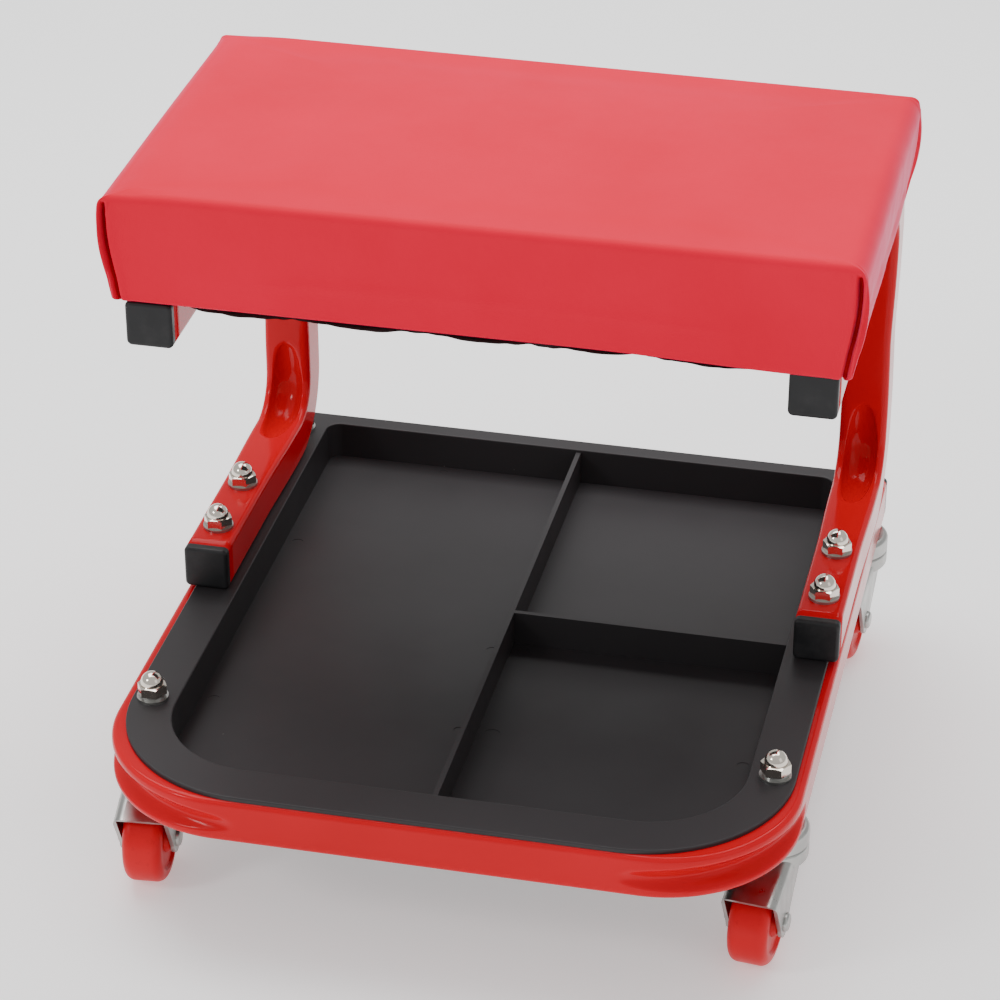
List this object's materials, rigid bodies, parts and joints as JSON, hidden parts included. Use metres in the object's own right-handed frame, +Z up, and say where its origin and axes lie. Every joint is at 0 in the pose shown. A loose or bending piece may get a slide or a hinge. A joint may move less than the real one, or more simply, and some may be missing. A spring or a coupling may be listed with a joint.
{
  "type": "rolling workshop seat",
  "caption": "Rolling mechanic's stool: padded red seat on two C-shaped tube legs over a castor base with a divided tool tray.",
  "frame": {"origin": "on the floor, under the middle of the base", "axes": "+X to the sitter's right, +Y to the open rear of the base, +Z up"},
  "size_m": [0.388, 0.408, 0.374],
  "materials": {
    "red_paint": "gloss red powder coat",
    "tray_plastic": "matte black moulded polypropylene",
    "cap_plastic": "black polyethylene plug",
    "red_vinyl": "smooth red upholstery vinyl",
    "foam": "cut polyurethane foam",
    "plywood": "raw plywood",
    "dust_cloth": "black non-woven dust cover",
    "zinc_steel": "bright zinc plate",
    "ball_steel": "polished ball steel",
    "nickel": "bright nickel plate",
    "wheel_plastic": "satin red moulded wheel",
    "seal_rubber": "black rubber"
  },
  "bodies": {
    "seat_frame": {"base_frame": "red_paint", "left_leg": "red_paint", "right_leg": "red_paint", "tool_tray": "tray_plastic", "base_plug_left": "cap_plastic", "base_plug_right": "cap_plastic", "left_leg_foot_cap": "cap_plastic", "right_leg_foot_cap": "cap_plastic", "left_leg_seat_cap": "cap_plastic", "right_leg_seat_cap": "cap_plastic", "seat_cover": "red_vinyl", "seat_foam": "foam", "seat_board": "plywood", "seat_dust_cover": "dust_cloth", "leg_bolts": "zinc_steel", "leg_bolt_lower_washers": "zinc_steel", "leg_bolt_washers": "zinc_steel", "leg_acorn_nuts": "nickel", "seat_bolts": "zinc_steel", "seat_bolt_washers": "zinc_steel", "seat_tee_nuts": "zinc_steel", "castor_washers": "zinc_steel", "castor_lock_washers": "zinc_steel", "castor_acorn_nuts": "nickel", "front_left_castor_stem": "zinc_steel", "front_left_castor_bearing_cap": "zinc_steel", "front_left_castor_seal": "seal_rubber", "front_right_castor_stem": "zinc_steel", "front_right_castor_bearing_cap": "zinc_steel", "front_right_castor_seal": "seal_rubber", "rear_left_castor_stem": "zinc_steel", "rear_left_castor_bearing_cap": "zinc_steel", "rear_left_castor_seal": "seal_rubber", "rear_right_castor_stem": "zinc_steel", "rear_right_castor_bearing_cap": "zinc_steel", "rear_right_castor_seal": "seal_rubber"},
    "front_left_fork": {"front_left_castor_fork": "zinc_steel", "front_left_castor_axle": "zinc_steel", "front_left_castor_balls": "ball_steel"},
    "front_left_wheel": {"front_left_castor_wheel": "wheel_plastic"},
    "front_right_fork": {"front_right_castor_fork": "zinc_steel", "front_right_castor_axle": "zinc_steel", "front_right_castor_balls": "ball_steel"},
    "front_right_wheel": {"front_right_castor_wheel": "wheel_plastic"},
    "rear_left_fork": {"rear_left_castor_fork": "zinc_steel", "rear_left_castor_axle": "zinc_steel", "rear_left_castor_balls": "ball_steel"},
    "rear_left_wheel": {"rear_left_castor_wheel": "wheel_plastic"},
    "rear_right_fork": {"rear_right_castor_fork": "zinc_steel", "rear_right_castor_axle": "zinc_steel", "rear_right_castor_balls": "ball_steel"},
    "rear_right_wheel": {"rear_right_castor_wheel": "wheel_plastic"}
  },
  "joints": [
    {"name": "front_left_swivel", "type": "hinge", "parent": "seat_frame", "child": "front_left_fork", "pos_m": [-0.1675, -0.1215, 0.06], "axis": [0, 0, 1], "continuous": true},
    {"name": "front_left_roll", "type": "hinge", "parent": "front_left_fork", "child": "front_left_wheel", "pos_m": [-0.16541, -0.14541, 0.025], "axis": [0.9962, 0.0872, 0], "continuous": true},
    {"name": "front_right_swivel", "type": "hinge", "parent": "seat_frame", "child": "front_right_fork", "pos_m": [0.1675, -0.1215, 0.06], "axis": [0, 0, 1], "continuous": true},
    {"name": "front_right_roll", "type": "hinge", "parent": "front_right_fork", "child": "front_right_wheel", "pos_m": [0.16499, -0.14537, 0.025], "axis": [0.9945, -0.1045, 0], "continuous": true},
    {"name": "rear_left_swivel", "type": "hinge", "parent": "seat_frame", "child": "rear_left_fork", "pos_m": [-0.169, 0.181, 0.06], "axis": [0, 0, 1], "continuous": true},
    {"name": "rear_left_roll", "type": "hinge", "parent": "rear_left_fork", "child": "rear_left_wheel", "pos_m": [-0.16566, 0.15723, 0.025], "axis": [0.9903, 0.1392, 0], "continuous": true},
    {"name": "rear_right_swivel", "type": "hinge", "parent": "seat_frame", "child": "rear_right_fork", "pos_m": [0.169, 0.181, 0.06], "axis": [0, 0, 1], "continuous": true},
    {"name": "rear_right_roll", "type": "hinge", "parent": "rear_right_fork", "child": "rear_right_wheel", "pos_m": [0.16691, 0.15709, 0.025], "axis": [0.9962, -0.0872, 0], "continuous": true}
  ]
}
